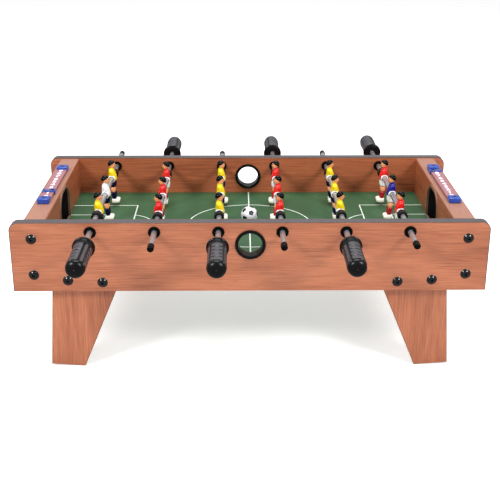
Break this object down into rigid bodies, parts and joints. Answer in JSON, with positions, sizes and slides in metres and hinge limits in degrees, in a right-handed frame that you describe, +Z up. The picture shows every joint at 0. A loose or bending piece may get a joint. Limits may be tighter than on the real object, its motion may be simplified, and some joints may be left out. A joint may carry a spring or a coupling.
{
  "type": "foosball table",
  "caption": "Small foosball table: wood cabinet on splayed legs, sliding and spinning rods with player figures, recessed goals, serve holes and sliding goal counters.",
  "frame": {"origin": "on the floor, under the middle of the cabinet, midway between the four feet", "axes": "+X along the table from the yellow team's goal to the red team's goal, +Y along the rods from the front panel to the back panel, +Z up"},
  "size_m": [0.686, 0.649, 0.2507],
  "materials": {
    "wood_panel": "horizontal woodgrain laminate, satin",
    "wood_end": "woodgrain laminate, satin",
    "wood_leg": "vertical woodgrain laminate, satin",
    "edging": "dark grey edge moulding, satin",
    "field": "green printed playing surface with white lines",
    "black_plastic": "black moulded plastic",
    "black_gloss": "black moulded grip, slight gloss",
    "dark_chrome": "dark plated steel",
    "chrome": "polished plated steel tube",
    "zinc": "zinc plated steel",
    "rubber": "black rubber",
    "blue_plastic": "blue moulded plastic",
    "counter_strip": "pale strip with white digits",
    "yellow_team": "painted plastic, yellow shirt, navy shorts",
    "red_team": "painted plastic, red shirt, white shorts",
    "white_keeper": "painted plastic, white shirt, navy shorts",
    "blue_keeper": "painted plastic, blue shirt, white shorts",
    "ball": "white plastic with black patches"
  },
  "bodies": {
    "cabinet": {"front_side_panel": "wood_panel", "back_side_panel": "wood_panel", "left_end_board": "wood_end", "right_end_board": "wood_end", "front_panel_edging": "edging", "back_panel_edging": "edging", "playfield": "field", "left_goal_pocket": "black_plastic", "right_goal_pocket": "black_plastic", "front_serve_ring": "black_plastic", "back_serve_ring": "black_plastic", "rod_bushings": "black_plastic", "bushing_nuts": "black_plastic", "front_left_leg": "wood_leg", "front_right_leg": "wood_leg", "back_left_leg": "wood_leg", "back_right_leg": "wood_leg", "end_board_bolts": "dark_chrome", "leg_bolts": "dark_chrome", "leg_nuts": "zinc", "cross_dowels": "zinc", "counter_rails": "counter_strip", "counter_end_blocks": "blue_plastic", "counter_screws": "zinc"},
    "left_counter_slider": {"left_counter_slider": "blue_plastic"},
    "right_counter_slider": {"right_counter_slider": "blue_plastic"},
    "ball": {"ball": "ball"},
    "rod_1_carriage": {"rod_1_bumpers": "rubber"},
    "rod_1_assembly": {"rod_1_tube": "chrome", "rod_1_handle": "black_gloss", "rod_1_end_cap": "black_plastic", "rod_1_players": "yellow_team", "rod_1_goalkeeper": "white_keeper"},
    "rod_2_carriage": {"rod_2_bumpers": "rubber"},
    "rod_2_assembly": {"rod_2_tube": "chrome", "rod_2_handle": "black_gloss", "rod_2_end_cap": "black_plastic", "rod_2_players": "red_team"},
    "rod_3_carriage": {"rod_3_bumpers": "rubber"},
    "rod_3_assembly": {"rod_3_tube": "chrome", "rod_3_handle": "black_gloss", "rod_3_end_cap": "black_plastic", "rod_3_players": "yellow_team"},
    "rod_4_carriage": {"rod_4_bumpers": "rubber"},
    "rod_4_assembly": {"rod_4_tube": "chrome", "rod_4_handle": "black_gloss", "rod_4_end_cap": "black_plastic", "rod_4_players": "red_team"},
    "rod_5_carriage": {"rod_5_bumpers": "rubber"},
    "rod_5_assembly": {"rod_5_tube": "chrome", "rod_5_handle": "black_gloss", "rod_5_end_cap": "black_plastic", "rod_5_players": "yellow_team"},
    "rod_6_carriage": {"rod_6_bumpers": "rubber"},
    "rod_6_assembly": {"rod_6_tube": "chrome", "rod_6_handle": "black_gloss", "rod_6_end_cap": "black_plastic", "rod_6_players": "red_team", "rod_6_goalkeeper": "blue_keeper"}
  },
  "joints": [
    {"name": "rod_1_slide", "type": "slide", "parent": "cabinet", "child": "rod_1_carriage", "axis": [0, 1, 0], "range_m": [-0.0472, 0.0372]},
    {"name": "rod_1_spin", "type": "hinge", "parent": "rod_1_carriage", "child": "rod_1_assembly", "pos_m": [-0.2279, 0, 0.2205], "axis": [0, 1, 0], "continuous": true},
    {"name": "rod_2_slide", "type": "slide", "parent": "cabinet", "child": "rod_2_carriage", "axis": [0, 1, 0], "range_m": [-0.0402, 0.0442]},
    {"name": "rod_2_spin", "type": "hinge", "parent": "rod_2_carriage", "child": "rod_2_assembly", "pos_m": [-0.13674, 0, 0.2205], "axis": [0, 1, 0], "continuous": true},
    {"name": "rod_3_slide", "type": "slide", "parent": "cabinet", "child": "rod_3_carriage", "axis": [0, 1, 0], "range_m": [-0.0452, 0.0392]},
    {"name": "rod_3_spin", "type": "hinge", "parent": "rod_3_carriage", "child": "rod_3_assembly", "pos_m": [-0.04558, 0, 0.2205], "axis": [0, 1, 0], "continuous": true},
    {"name": "rod_4_slide", "type": "slide", "parent": "cabinet", "child": "rod_4_carriage", "axis": [0, 1, 0], "range_m": [-0.0442, 0.0402]},
    {"name": "rod_4_spin", "type": "hinge", "parent": "rod_4_carriage", "child": "rod_4_assembly", "pos_m": [0.04558, 0, 0.2205], "axis": [0, 1, 0], "continuous": true},
    {"name": "rod_5_slide", "type": "slide", "parent": "cabinet", "child": "rod_5_carriage", "axis": [0, 1, 0], "range_m": [-0.0482, 0.0362]},
    {"name": "rod_5_spin", "type": "hinge", "parent": "rod_5_carriage", "child": "rod_5_assembly", "pos_m": [0.13674, 0, 0.2205], "axis": [0, 1, 0], "continuous": true},
    {"name": "rod_6_slide", "type": "slide", "parent": "cabinet", "child": "rod_6_carriage", "axis": [0, 1, 0], "range_m": [-0.0482, 0.0362]},
    {"name": "rod_6_spin", "type": "hinge", "parent": "rod_6_carriage", "child": "rod_6_assembly", "pos_m": [0.2279, 0, 0.2205], "axis": [0, 1, 0], "continuous": true},
    {"name": "left_counter_slide", "type": "slide", "parent": "cabinet", "child": "left_counter_slider", "axis": [0, 1, 0], "range_m": [-0.0272, 0.1092]},
    {"name": "right_counter_slide", "type": "slide", "parent": "cabinet", "child": "right_counter_slider", "axis": [0, 1, 0], "range_m": [-0.1322, 0.0042]},
    {"name": "ball_roll", "type": "slide", "parent": "cabinet", "child": "ball", "axis": [1, 0, 0], "range_m": [-0.0165, 0.0155]}
  ]
}
